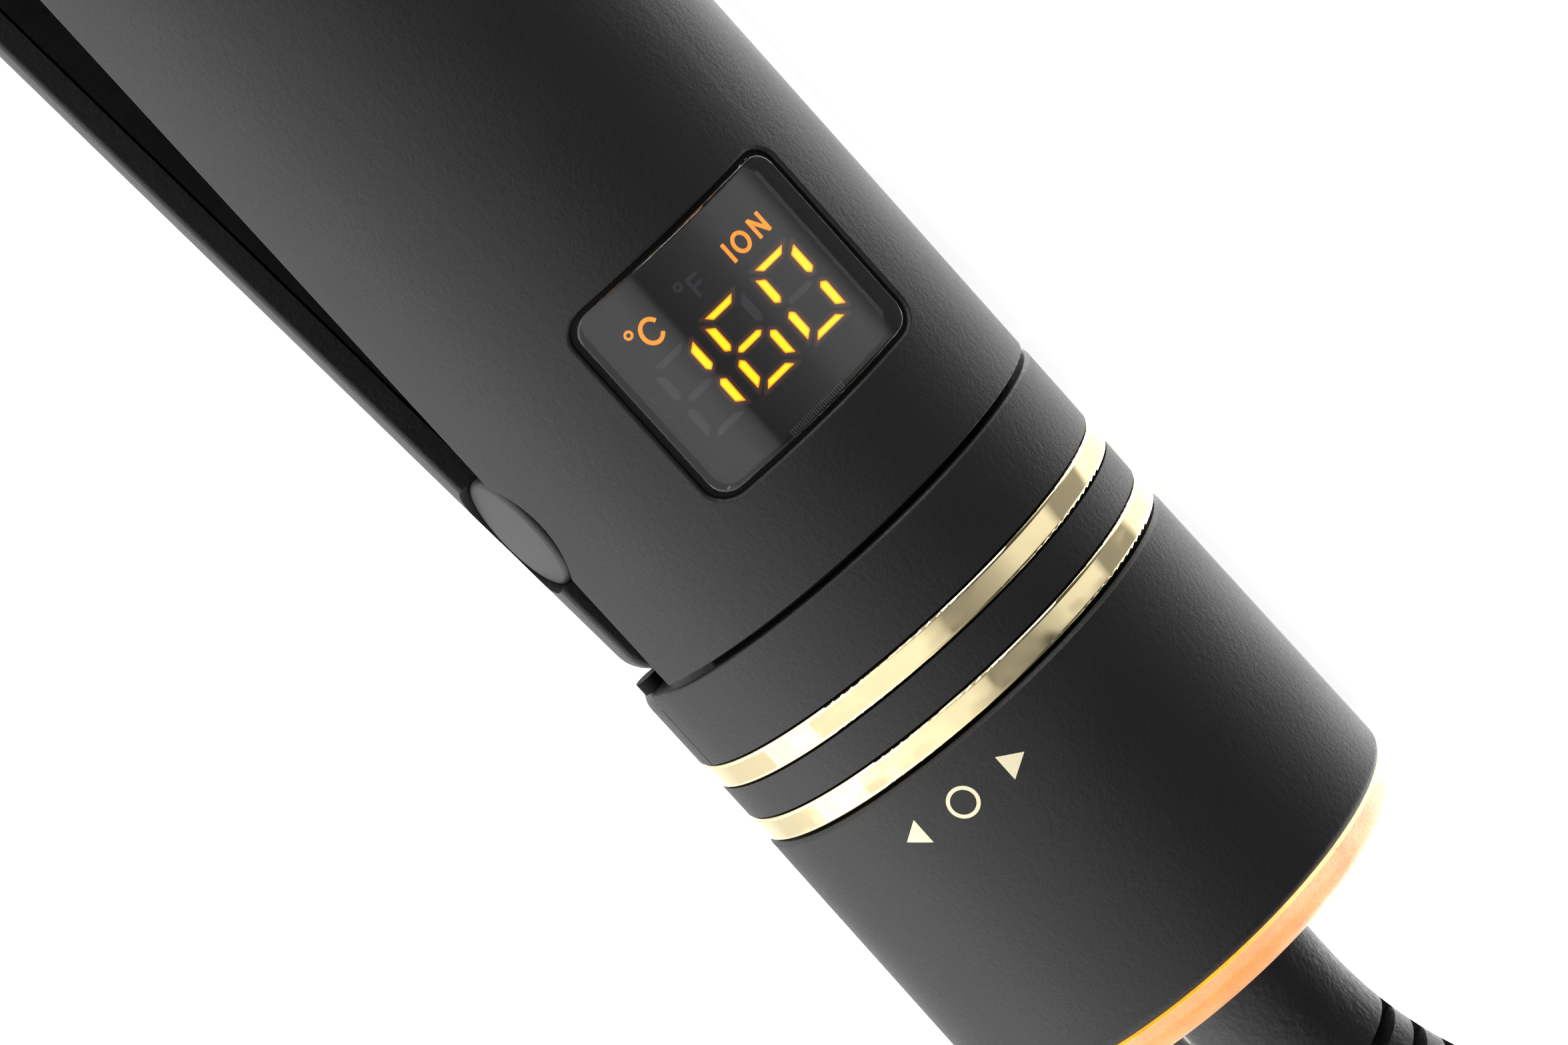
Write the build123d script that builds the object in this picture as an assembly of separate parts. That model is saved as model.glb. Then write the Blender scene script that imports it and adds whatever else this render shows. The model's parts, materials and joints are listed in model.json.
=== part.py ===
from build123d import *
import math
import os

# Curling iron with two handle arms that spring open, a heated barrel on the display arm, a clamp
# spoon on the other arm, a twist ring and a swivel cord at the rear.
# Working frame, in mm: the arm hinge axis is Z through the origin, +X runs along the handle to the
# barrel tip, the display faces -Y and the clamp arm lies on the +Y side.
# All nodes are moved at the end so that the object stands on Z = 0 about its own centre.

# ---- driving dimensions ----------------------------------------------------------------------
BODY_R = 19.0            # handle radius at the collar and the display arm
CLAMP_R = 18.85          # radius of the clamp arm's shell
WALL = 2.0               # wall of the moulded shells
SEAM = 0.1               # joint line between fixed pieces
FIT = 0.06               # radial clearance of a running fit
OPEN_ANGLE = 14.1        # opening of the clamp arm at rest, degrees
DISPLAY_EDGE_Y = -4.1    # parting edge of the display arm, measured from the hinge plane
ARM_END_X = 92.0         # front end of the display arm
CLAMP_END_X = 88.0       # front end of the clamp arm's shell
SHOULDER_X = 66.0        # the display arm narrows from here to its nose
NOSE_R = 17.4
EDGE_ROUND = 0.35        # rounding along the parting edges of both arms

COLLAR_FRONT_X = -15.4
COLLAR_LENGTH = 6.6
COLLAR_GAP = 0.5         # between the collar and the display arm
COLLAR_ROUND = 0.35
RING_WIDTH = 2.15
RING_ROUND = 0.3
RING_GAP = 0.12
BAND_WIDTH = 2.95
KNOB_FRONT_X = -29.9
KNOB_LENGTH = 25.0
KNOB_FRONT_R = 19.07
KNOB_REAR_R = 19.4
LIGHT_LENGTH = 2.45
CORE_R = 16.74           # outside of the tail core that every ring slides onto
CORE_BORE_R = 14.7
WEB_X = -50.0            # wall inside the tail core that carries the swivel
WEB_HOLE_R = 8.05
SLOT_X = (-43.6, -39.4)  # slot that the twist ring's tab reaches through
RING_BORE_R = CORE_R + FIT

BARREL_R = 16.0
BARREL_STEP = 0.6        # the base ring and the tip stand this much inside the barrel
BARREL_WALL = 0.8
BARREL_START_X = 100.2
BARREL_END_X = 247.0
TIP_LENGTH = 21.0
BASE_NECK_R = 12.0
SEAT_END_X = 108.0       # end of the barrel's seat on its base
SPREADER_START_X = 112.0
SPREADER_END_X = 240.0
SPREADER_WALL = 1.6
LEAD_Y = -8.5            # heater leads
LEAD_Z = 4.0
LEAD_R = 1.1
SPOON_CLEARANCE = 0.3
SPOON_THICK = 1.0
SPOON_START_X = 91.6
SPOON_END_X = 244.0
SPOON_SEAT = 1.3         # thickness of the bracket's saddle over the spoon
BRACKET_NECK_R = 13.0
RIVET_X = 96.0
RIVET_ANGLES = (-38.0, 0.0, 38.0)

WINDOW_CENTRE_X = 1.86
OPENING_LENGTH = 17.0    # display opening along the arm
OPENING_WIDTH = 19.9     # display opening across the arm
OPENING_CORNER = 1.9
OPENING_ROUND = 0.3      # rounding of the opening's outer edge
WINDOW_GAP = 0.36        # gasket width round the window
WINDOW_THICK = 1.8
WINDOW_ROUND = 0.22
DISPLAY_PLANE_Y = -14.8  # face of the display module
MODULE_START_X = -6.2
MODULE_END_X = 9.9
MODULE_HALF = 8.1
MODULE_DEPTH = 5.0
BOARD_THICK = 1.6

MARK_X = -33.66
MARK_ANGLES = (49.9, 35.8, 21.4)   # arrow, circle and arrow round the ring, from the display side
MARK_DEPTH = 0.3

PIN_R = 2.0
KNUCKLE_R = 5.0
LUG_HALF = 9.0           # half width of the display arm's hinge lug
KNUCKLE_OUT = 17.4       # outer face of the clamp arm's knuckles
SCALLOP_R = 6.3

SCREW_HEAD = 0.9         # arm screws: head height, radii and length
SCREW_HEAD_R = 2.3
SCREW_R = 1.25
SCREW_LENGTH = 7.0
BOSS_R = 3.0
DISPLAY_SCREWS = [(x, z) for x in (64.0, 81.0) for z in (-9.0, 9.0)]
CLAMP_SCREWS = [(x, z) for x in (22.0, 66.0) for z in (-9.0, 9.0)]
CHASSIS_SCREW_Y = -11.0
CHASSIS_SCREW_Z = 8.0

CORD_D = 6.0
BEND = 26.0              # turn of the strain relief towards the table, degrees
BOOT_R = 6.2
BOOT_STRAIGHT = 6.1
BOOT_ARC_R = 42.0
BOOT_TAPER = 14.0
BOOT_END_R = 4.3
HUB_REAR_X = -58.4
JOURNAL_END_X = -47.9    # where the swivel's journal meets its flange
SLOT_PITCH = 3.5         # bending slots of the strain relief
SLOT_WIDTH = 1.3
SLOT_COUNT = 7
FIRST_SLOT = 13.4        # along the strain relief from its base
CORD_IN_BOOT = 8.0

COIL_PITCH = 6.1
COIL_COLUMNS = 2
COIL_LAYERS = 4
COIL_MEAN_R = 35.0
COIL_CENTRE = (-176.0, 33.0)
TIE_THICK = 0.8
TIE_HALF_WIDTH = 5.0

PLUG_LENGTH = 36.0
PLUG_WIDTH = 35.3
PLUG_THICK = 13.7
GRIP_GROOVES = 4         # finger grooves across the plug's flat sides
GRIP_PITCH = 2.8
GRIP_DEPTH = 0.5
PIN_LENGTH = 19.0
PIN_SPACING = 18.6
PLUG_REAR = (-138.0, 84.0)
RELIEF_LENGTH = 16.0

FAR = 400.0              # size of the half-space blocks used for trimming

# ---- derived positions ---------------------------------------------------------------------
COLLAR_REAR_X = COLLAR_FRONT_X - COLLAR_LENGTH
RING1_FRONT_X = COLLAR_REAR_X - RING_GAP
BAND_FRONT_X = RING1_FRONT_X - RING_WIDTH - RING_GAP
RING2_FRONT_X = BAND_FRONT_X - BAND_WIDTH - RING_GAP
KNOB_REAR_X = KNOB_FRONT_X - KNOB_LENGTH
LIGHT_FRONT_X = KNOB_REAR_X - 0.15
LIGHT_REAR_X = LIGHT_FRONT_X - LIGHT_LENGTH
TAIL_FACE_X = -14.0      # tail end of the clamp arm when it is open
ARM_REAR_X = COLLAR_FRONT_X + COLLAR_GAP
LINER_Y = DISPLAY_EDGE_Y - 0.2
LINER_THICK = 1.8
KNOB_ROUND = 0.8         # rounding of the twist ring's rear edge
FLOOR = -19.38           # height of the table under the twist ring's widest line
BASE_RING_X = ARM_END_X + 0.3
SPOON_IN_R = BARREL_R + SPOON_CLEARANCE
SPOON_OUT_R = SPOON_IN_R + SPOON_THICK
SADDLE_R = SPOON_OUT_R + SPOON_SEAT

BEND_RAD = math.radians(BEND)
BOOT_DIR = Vector(-math.cos(BEND_RAD), 0, -math.sin(BEND_RAD))
BOOT_START = Vector(HUB_REAR_X - 0.02, 0, 0)
ARC_START = BOOT_START + Vector(-BOOT_STRAIGHT, 0, 0)
ARC_END = ARC_START + Vector(-math.sin(BEND_RAD), 0, -(1 - math.cos(BEND_RAD))) * BOOT_ARC_R
BOOT_END = ARC_END + BOOT_DIR * BOOT_TAPER

CORD_Z = FLOOR + CORD_D / 2
COIL_BASE = FLOOR + TIE_THICK
COIL_HEIGHT = COIL_PITCH * (COIL_LAYERS - 1) + CORD_D
COIL_WIDTH = COIL_PITCH * (COIL_COLUMNS - 1) + CORD_D
COIL_TOP_Z = COIL_BASE + COIL_HEIGHT - CORD_D / 2
PLUG_AXIS_Z = FLOOR + PLUG_THICK / 2

CORD_ROUTE = [
    BOOT_END - BOOT_DIR * CORD_IN_BOOT,
    Vector(BOOT_END.X - 12.3, 0, CORD_Z),
    Vector(-141.0, -2.2, CORD_Z + 0.2),
    Vector(-170.0, -4.7, COIL_BASE + CORD_D / 2),
]
TAIL_ROUTE = [
    Vector(-214.0, 31.0, COIL_TOP_Z),
    Vector(-215.5, 63.0, FLOOR + 17.0),
    Vector(-193.0, 85.0, FLOOR + 8.0),
    Vector(-161.0, 86.0, FLOOR + 4.4),
    Vector(PLUG_REAR[0], PLUG_REAR[1], PLUG_AXIS_Z),
]


# ---- shape helpers -------------------------------------------------------------------------
def rod_x(x0, x1, radius, y=0.0, z=0.0):
    """Round bar along X."""
    base = Plane(origin=(x0, y, z), x_dir=(0, 1, 0), z_dir=(1, 0, 0))
    return extrude(base * Circle(radius), x1 - x0)


def ring_x(x0, x1, outer, inner):
    """Tube along X."""
    return rod_x(x0, x1, outer) - rod_x(x0 - 1, x1 + 1, inner)


def rod_y(y0, y1, radius, x, z):
    """Round bar along Y."""
    base = Plane(origin=(x, y0, z), x_dir=(1, 0, 0), z_dir=(0, 1, 0))
    return extrude(base * Circle(radius), y1 - y0)


def rod_z(z0, z1, radius, x=0.0, y=0.0):
    """Round bar along Z."""
    return extrude(Plane(origin=(x, y, z0)) * Circle(radius), z1 - z0)


def block(x0, x1, y0, y1, z0, z1):
    """Box between two corners."""
    centre = Pos((x0 + x1) / 2, (y0 + y1) / 2, (z0 + z1) / 2)
    return centre * Box(x1 - x0, y1 - y0, z1 - z0)


def before_y(y):
    """Everything on the display side of a plane."""
    return block(-FAR, FAR, -FAR, y, -FAR, FAR)


def beyond_y(y):
    """Everything on the clamp side of a plane."""
    return block(-FAR, FAR, y, FAR, -FAR, FAR)


def turned(points):
    """Solid of revolution about X from (x, radius) points."""
    outline = make_face(Polyline([(x, r) for x, r in points], close=True))
    return revolve(outline, Axis.X, 360)


def side_bores(radius, inner, outer):
    """A pair of bars along Z through both sides of the hinge."""
    return rod_z(inner, outer, radius) + rod_z(-outer, -inner, radius)


def rounded_prism(x0, x1, half_width, corner, y0, y1):
    """Rounded rectangle in plan, extruded through Y."""
    plan = Plane(origin=((x0 + x1) / 2, y0, 0), x_dir=(1, 0, 0), z_dir=(0, 1, 0))
    return extrude(plan * RectangleRounded(x1 - x0, 2 * half_width, corner), y1 - y0)


def opened(shape):
    """Moves a clamp arm piece from its closed place to its open one."""
    return shape.rotate(Axis.Z, OPEN_ANGLE)


def tail_trim(x):
    """Everything behind the clamp arm's tail face, in the closed place."""
    return block(-FAR, x, -FAR, FAR, -FAR, FAR).rotate(Axis.Z, -OPEN_ANGLE)


def arm_screw(x, z, y_head, direction):
    """Countersunk-style screw along Y, its head flush with a liner plate."""
    y_seat = y_head + direction * SCREW_HEAD
    y_end = y_head + direction * SCREW_LENGTH
    head = rod_y(min(y_head, y_seat), max(y_head, y_seat), SCREW_HEAD_R, x, z)
    shank = rod_y(min(y_seat, y_end), max(y_seat, y_end), SCREW_R, x, z)
    slot = block(x - 1.6, x + 1.6, y_head - 0.35, y_head + 0.35, z - 0.3, z + 0.3)
    return head + shank - slot


def screw_holes(places, y_face, direction):
    """Clearance holes and head seats for a row of arm screws."""
    holes = []
    for x, z in places:
        seat = y_face + direction * (SCREW_HEAD + 0.02)
        far = y_face + direction * (SCREW_LENGTH + 0.5)
        holes.append(rod_y(min(y_face, seat), max(y_face, seat), SCREW_HEAD_R + 0.08, x, z))
        holes.append(rod_y(min(y_face, far), max(y_face, far), SCREW_R + 0.05, x, z))
    return Part() + holes


# ---- display arm ---------------------------------------------------------------------------
def display_cut(grow, y0=-FAR / 10, y1=-10.0):
    """Prism through the display opening, smaller by the gasket width when grow is negative."""
    half_length = OPENING_LENGTH / 2 + grow
    x0 = WINDOW_CENTRE_X - half_length
    x1 = WINDOW_CENTRE_X + half_length
    return rounded_prism(x0, x1, OPENING_WIDTH / 2 + grow, OPENING_CORNER + grow, y0, y1)


def skin_rim(shape):
    """Edges where the display opening or the window meets the handle's outer surface."""
    def on_rim(edge):
        middle = edge @ 0.5
        on_skin = abs(math.hypot(middle.Y, middle.Z) - BODY_R) < 0.01
        near = abs(middle.X - WINDOW_CENTRE_X) < OPENING_LENGTH / 2 + 0.1
        return on_skin and near and middle.Y < 0 and abs(middle.Z) < OPENING_WIDTH / 2 + 0.1
    return shape.edges().filter_by(on_rim)


def display_arm_hollow(gap=0.0):
    """Space inside the display arm's shell, less a gap all round."""
    radius = BODY_R - WALL - gap
    end_x = ARM_END_X - 2.5 - gap
    return turned([(ARM_REAR_X - 1, 0), (ARM_REAR_X - 1, radius), (SHOULDER_X, radius),
                   (end_x, NOSE_R - WALL - gap), (end_x, 0)])


def main_arm_shell():
    outer = turned([(ARM_REAR_X, 0), (ARM_REAR_X, BODY_R), (SHOULDER_X, BODY_R), (ARM_END_X, NOSE_R),
                    (ARM_END_X, 0)])
    outer = fillet(outer.edges().filter_by(GeomType.CIRCLE).group_by(Axis.X)[-1], 1.6)
    outer = fillet(outer.edges().filter_by(GeomType.CIRCLE).group_by(Axis.X)[0], 0.2)
    outer &= before_y(DISPLAY_EDGE_Y)
    outer = fillet(outer.faces().sort_by(Axis.Y)[-1].edges(), EDGE_ROUND)
    inner = display_arm_hollow()
    shell = outer - inner
    for x, z in DISPLAY_SCREWS:
        boss = rod_y(-18.0, LINER_Y - LINER_THICK - 0.02, BOSS_R, x, z)
        shell += boss & inner
    shell -= screw_holes(DISPLAY_SCREWS, LINER_Y, -1)
    shell -= display_cut(0)
    shell = fillet(skin_rim(shell), OPENING_ROUND)
    shell -= side_bores(SCALLOP_R, LUG_HALF, FAR / 8)
    shell -= rod_x(ARM_END_X - 5, ARM_END_X + 5, BASE_NECK_R + 0.2)
    return shell


def main_arm_liner():
    plate = block(ARM_REAR_X, 84.8, LINER_Y - LINER_THICK, LINER_Y, -BODY_R, BODY_R) & display_arm_hollow(0.12)
    plate -= side_bores(KNUCKLE_R + 0.6, LUG_HALF + 0.2, FAR / 8)
    flange = rod_x(ARM_REAR_X, ARM_REAR_X + 2, BODY_R - WALL - 0.2) & before_y(LINER_Y - LINER_THICK / 2)
    lug = rod_z(-LUG_HALF, LUG_HALF, 5.5) + block(-5.5, 5.5, LINER_Y - LINER_THICK, 0, -LUG_HALF, LUG_HALF)
    lug -= rod_z(-5.0, 5.0, 4.6)
    liner = plate + flange + lug
    liner -= rod_z(-FAR, FAR, PIN_R + FIT)
    liner -= screw_holes(DISPLAY_SCREWS, LINER_Y, -1)
    liner -= chassis_screws(0.05)
    return liner - rod_x(-FAR, 0, 2.2, -8.5, 0)


def chassis_screws(grow=0.0):
    """Two screws along X that hold the display arm's liner to the tail core."""
    parts = []
    head_x = ARM_REAR_X + 2
    for z in (-CHASSIS_SCREW_Z, CHASSIS_SCREW_Z):
        shank = rod_x(head_x - 7, head_x, 1.5 + grow, CHASSIS_SCREW_Y, z)
        head = rod_x(head_x, head_x + 1.8, 2.7 + grow, CHASSIS_SCREW_Y, z)
        parts.append(shank + head)
    return Part() + parts


def display_window():
    skin = ring_x(-20, 30, BODY_R, BODY_R - WINDOW_THICK)
    window = skin & display_cut(-WINDOW_GAP)
    return fillet(skin_rim(window), WINDOW_ROUND)


def display_gasket():
    skin = ring_x(-20, 30, BODY_R - OPENING_ROUND - 0.05, BODY_R - WINDOW_THICK - 0.1)
    return skin & (display_cut(-0.02) - display_cut(-WINDOW_GAP + 0.02))


def display_module():
    back = DISPLAY_PLANE_Y + MODULE_DEPTH
    body = block(MODULE_START_X, MODULE_END_X, DISPLAY_PLANE_Y, back, -MODULE_HALF, MODULE_HALF)
    return chamfer(body.edges().filter_by(Axis.Y), 0.5)


def control_board():
    top = DISPLAY_PLANE_Y + MODULE_DEPTH
    board = block(-10.4, 30.0, top + 0.02, top + 0.02 + BOARD_THICK, -12.0, 12.0)
    for x in (15.0, 21.0, 27.0):
        board += block(x - 2.2, x + 2.2, top - 1.4, top + 0.02, -4.0, 4.0)
    return board


def ion_module():
    case = block(34.0, 58.0, -14.0, -6.4, -7.5, 7.5)
    case = fillet(case.edges().filter_by(Axis.Y), 1.5)
    return case + rod_x(58.0, 61.0, 1.2, -10.0, 0)


def heater_leads():
    """Two insulated wires from the board to the heater, beside the ion module and the bosses."""
    parts = []
    for z in (-LEAD_Z, LEAD_Z):
        parts.append(rod_x(62.0, 111.6, LEAD_R, LEAD_Y, z))
    return Part() + parts


# ---- barrel --------------------------------------------------------------------------------
def barrel_base():
    half = before_y(LINER_Y - 0.3)
    flange = rod_x(85.2, ARM_END_X - 2.6, 14.6) & half
    neck = rod_x(85.2, BASE_RING_X, BASE_NECK_R) & half
    ring = rod_x(BASE_RING_X, BARREL_START_X - 0.05, BARREL_R - BARREL_STEP)
    ring = fillet(ring.edges().group_by(Axis.X)[0], 0.8)
    seat = rod_x(BARREL_START_X - 0.05, SEAT_END_X, BARREL_R - BARREL_WALL - 0.05)
    base = flange + neck + ring + seat
    for z in (-LEAD_Z, LEAD_Z):
        base -= rod_x(80, 115, LEAD_R + 0.1, LEAD_Y, z)
    return base


def barrel_tube():
    return ring_x(BARREL_START_X, BARREL_END_X, BARREL_R, BARREL_R - BARREL_WALL)


def heat_spreader(side):
    """Half-round aluminium block that presses the heater against the barrel wall."""
    outer_r = BARREL_R - BARREL_WALL - 0.05
    wall = SPREADER_WALL
    shell = ring_x(SPREADER_START_X, SPREADER_END_X, outer_r, outer_r - wall)
    middle = rod_x(SPREADER_START_X, SPREADER_END_X, outer_r - wall / 2)
    plate = middle & block(0, FAR, wall, 2 * wall, -FAR, FAR)
    rib = middle & block(0, FAR, wall, FAR, -wall / 2, wall / 2)
    half = (shell & beyond_y(wall)) + plate + rib
    return half if side > 0 else half.rotate(Axis.X, 180)


def ptc_heater():
    core = block(116.0, 236.0, -1.5, 1.5, -9.0, 9.0)
    tabs = block(112.5, 116.0, -0.4, 0.4, -6.0, -3.0) + block(112.5, 116.0, -0.4, 0.4, 3.0, 6.0)
    return core + tabs


def thermal_sensor():
    return rod_z(-3.0, 3.0, 1.4, 110.0, 3.0)


def cool_tip():
    plug_r = BARREL_R - BARREL_WALL - 0.05
    end_x = BARREL_END_X + TIP_LENGTH
    body = rod_x(BARREL_END_X + 0.05, end_x, BARREL_R - BARREL_STEP)
    body = fillet(body.edges().group_by(Axis.X)[-1], 9.0)
    groove = ring_x(BARREL_END_X + 2.6, BARREL_END_X + 3.4, BARREL_R + 1, BARREL_R - 0.5)
    solid = body - groove + rod_x(240.6, BARREL_END_X + 0.05, plug_r)
    return solid - rod_x(239, end_x - 6, plug_r - WALL)


# ---- tail ----------------------------------------------------------------------------------
def tail_core():
    tube = ring_x(KNOB_REAR_X, -17.6, CORE_R, CORE_BORE_R)
    front = rod_x(-17.6, -15.6, CORE_R - 0.1)
    boss = rod_x(-15.6, ARM_REAR_X - 0.02, BODY_R - WALL - 0.4) & before_y(LINER_Y - LINER_THICK)
    web = rod_x(WEB_X, WEB_X + 2, CORE_BORE_R + 0.5)
    core = tube + front + boss + web
    core -= rod_x(WEB_X - 1, WEB_X + 3, WEB_HOLE_R)
    core -= block(SLOT_X[0], SLOT_X[1], 12.0, 18.0, -7.2, 7.2)
    core -= chassis_screws(0.02)
    return core - rod_x(-FAR, 0, 2.2, LEAD_Y, 0)


def collar(side):
    """Half of the collar; the lower half has a rounder front edge."""
    ring = rod_x(COLLAR_REAR_X, COLLAR_FRONT_X, BODY_R)
    front_radius = 1.3 if side > 0 else COLLAR_ROUND
    ring = fillet(ring.edges().group_by(Axis.X)[-1], front_radius)
    ring -= rod_x(COLLAR_REAR_X - 1, COLLAR_FRONT_X + 1, CORE_R + 0.04)
    keep = beyond_y(SEAM) if side > 0 else before_y(-SEAM / 2)
    return ring & keep


def open_stop_pads():
    """Rubber pads on the collar's front face that the clamp arm's tail comes to rest on."""
    pads = [rod_x(COLLAR_FRONT_X + 0.01, TAIL_FACE_X - 0.35, 1.0, 2.6, z) for z in (-17.5, 17.5)]
    return Part() + pads


def trim_ring(front_x):
    """Gold ring with rounded edges."""
    ring = rod_x(front_x - RING_WIDTH, front_x, BODY_R + 0.07) - rod_x(front_x - 9, front_x + 9, CORE_R + 0.04)
    return fillet(ring.edges().filter_by(GeomType.CIRCLE).group_by(SortBy.RADIUS)[-1], RING_ROUND)


def spacer_band():
    return ring_x(BAND_FRONT_X - BAND_WIDTH, BAND_FRONT_X, BODY_R - 0.05, CORE_R + 0.04)


def knob_body(grow=0.0):
    """Outer form of the twist ring, slightly larger at the rear."""
    body = turned([(KNOB_REAR_X, 0), (KNOB_REAR_X, KNOB_REAR_R + grow), (KNOB_FRONT_X, KNOB_FRONT_R + grow),
                   (KNOB_FRONT_X, 0)])
    rims = body.edges().filter_by(GeomType.CIRCLE).group_by(Axis.X)
    body = fillet(rims[0], KNOB_ROUND)
    rims = body.edges().filter_by(GeomType.CIRCLE).group_by(Axis.X)
    return chamfer(rims[-1], 0.3)


def mark_prism(index):
    """Prism through the twist ring's wall with the outline of one mark."""
    angle = math.radians(MARK_ANGLES[index])
    normal = (0, -math.cos(angle), math.sin(angle))
    centre = (MARK_X, normal[1] * 15, normal[2] * 15)
    base = Plane(origin=centre, x_dir=(1, 0, 0), z_dir=normal)
    if index == 1:
        return extrude(base * (Circle(1.24) - Circle(0.95)), 6)
    tip = 0.86 if index == 0 else -0.9
    outline = make_face(Polyline([(-1.08, -tip), (1.08, -tip), (0, tip)], close=True))
    return extrude(base * outline, 6)


def ring_marks():
    skin = knob_body(0.02) - rod_x(KNOB_REAR_X - 1, KNOB_FRONT_X + 1, KNOB_FRONT_R - MARK_DEPTH)
    return Part() + [skin & mark_prism(i) for i in range(3)]


def twist_ring():
    ring = knob_body() - rod_x(KNOB_REAR_X - 1, KNOB_FRONT_X + 1, RING_BORE_R)
    tab = block(-43.0, -40.0, 13.6, 17.2, -2.0, 2.0)
    return ring + tab - ring_marks()


def encoder_board():
    board = block(-45.5, -37.0, 9.0, 10.6, -8.0, 8.0)
    return board + block(-43.0, -40.0, 10.6, 12.9, -3.0, 3.0)


def ring_return_spring():
    """Open spring collar inside the tail core."""
    spring = ring_x(-35.5, -32.5, CORE_BORE_R - 0.1, CORE_BORE_R - 0.8)
    return spring - block(-40, -30, 10, 20, -5, 5)


def power_board():
    board = block(-44.0, -22.0, -1.6, 0.0, -12.5, 12.5)
    capacitor = rod_x(-40.0, -28.0, 4.0, -5.62, 5.0)
    terminal = block(-27.0, -23.0, -7.0, -1.6, -8.0, 0.0)
    return board + capacitor + terminal


def light_ring():
    body = rod_x(LIGHT_REAR_X, LIGHT_FRONT_X, BODY_R + 0.02)
    body = fillet(body.edges().group_by(Axis.X)[0], 1.5)
    return body - rod_x(LIGHT_REAR_X - 1, LIGHT_FRONT_X + 1, 14.0)


def led_board():
    board = ring_x(-54.4, -53.0, CORE_BORE_R - 0.1, 9.8)
    for index in range(8):
        led = block(-54.98, -54.4, -1.0, 1.0, 11.8, 14.0)
        board += led.rotate(Axis.X, index * 45)
    return board


def end_cap():
    disc = rod_x(LIGHT_REAR_X - 0.25, LIGHT_FRONT_X, 13.9)
    disc = fillet(disc.edges().group_by(Axis.X)[0], 0.5)
    neck = rod_x(LIGHT_FRONT_X, WEB_X - 0.02, 9.6)
    return disc + neck - rod_x(LIGHT_REAR_X - 2, WEB_X + 2, 8.0)


# ---- hinge ---------------------------------------------------------------------------------
def hinge_pin():
    return rod_z(-KNUCKLE_OUT + 0.02, KNUCKLE_OUT - 0.02, PIN_R)


def hinge_cap(side):
    top = KNUCKLE_OUT + 0.75
    cap = rod_z(KNUCKLE_OUT, top, KNUCKLE_R)
    cap = fillet(cap.edges().group_by(Axis.Z)[-1], 0.45)
    return cap if side > 0 else cap.mirror(Plane.XY)


def arm_spring():
    """Torsion spring round the hinge pin, drawn as its stacked turns and two legs."""
    wire = 0.55
    turns = []
    for index in range(6):
        z = -3.0 + index * 1.2
        turns.append(Pos(0, 0, z) * Torus(3.5, wire))
    leg_up = rod_x(0.0, 2.2, wire, -3.5, 3.0)
    leg_down = rod_x(0.0, 2.2, wire, 3.5, -3.0)
    return Part() + turns + leg_up + leg_down


# ---- clamp arm, drawn in its closed place ----------------------------------------------------
def clamp_inner():
    """Hollow of the clamp arm's shell."""
    hollow = rod_x(-FAR / 10, CLAMP_END_X - 2.5, CLAMP_R - 1.9) & beyond_y(-1)
    return hollow - tail_trim(TAIL_FACE_X + 1.8)


def clamp_arm_shell():
    body = rod_x(-30.0, CLAMP_END_X, CLAMP_R) & beyond_y(0)
    body -= tail_trim(TAIL_FACE_X)
    tail_edge = body.edges().filter_by(lambda e: e.geom_type == GeomType.ELLIPSE)
    body = fillet(tail_edge, 2.4)
    front_edge = body.edges().filter_by(GeomType.CIRCLE).group_by(Axis.X)[-1]
    body = fillet(front_edge, 2.0)
    body = fillet(body.faces().sort_by(Axis.Y)[0].edges(), EDGE_ROUND)
    inner = clamp_inner()
    shell = body - inner
    for x, z in CLAMP_SCREWS:
        boss = rod_y(1.72, 18.0, BOSS_R, x, z)
        shell += boss & inner
    shell -= screw_holes(CLAMP_SCREWS, 0, 1)
    shell -= side_bores(KNUCKLE_R + 0.12, 15.0, FAR / 8)
    shell -= rod_x(CLAMP_END_X - 5, CLAMP_END_X + 5, BRACKET_NECK_R + 0.1) & beyond_y(1.0)
    return shell


def clamp_arm_liner():
    plate = block(-20.0, CLAMP_END_X - 2.6, 0, 1.7, -16.7, 16.7) - tail_trim(TAIL_FACE_X + 2.0)
    plate -= rod_z(-LUG_HALF - 0.35, LUG_HALF + 0.35, 6.3)
    knuckles = side_bores(KNUCKLE_R, LUG_HALF + 0.35, KNUCKLE_OUT - 0.02)
    liner = plate + knuckles
    liner -= rod_z(-FAR, FAR, PIN_R)
    return liner - screw_holes(CLAMP_SCREWS, 0, 1)


def closing_pads():
    """Rubber pads that meet the display arm when the arms are squeezed together."""
    return Part() + [rod_y(LINER_Y + 0.35, 0, 3.0, 78.0, z) for z in (-10.0, 10.0)]


def spoon_bracket():
    half = beyond_y(1.9)
    flange = rod_x(80.0, CLAMP_END_X - 2.55, 14.4) & half
    neck = rod_x(80.0, CLAMP_END_X + 0.1, BRACKET_NECK_R) & half
    face = rod_x(CLAMP_END_X + 0.05, SPOON_START_X - 0.02, SADDLE_R) & half
    saddle = ring_x(SPOON_START_X - 0.1, 101.0, SADDLE_R, SPOON_OUT_R + 0.02) & beyond_y(7.0)
    return flange + neck + face + saddle - spoon_rivets(0.02)


def spoon_rivets(grow=0.0):
    parts = []
    for angle in RIVET_ANGLES:
        shank = rod_y(SPOON_IN_R + 0.1, SADDLE_R, 1.3 + grow, RIVET_X, 0)
        head = rod_y(SADDLE_R - grow, SADDLE_R + 0.7, 2.2 + grow, RIVET_X, 0)
        parts.append((shank + head).rotate(Axis.X, angle))
    return Part() + parts


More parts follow.
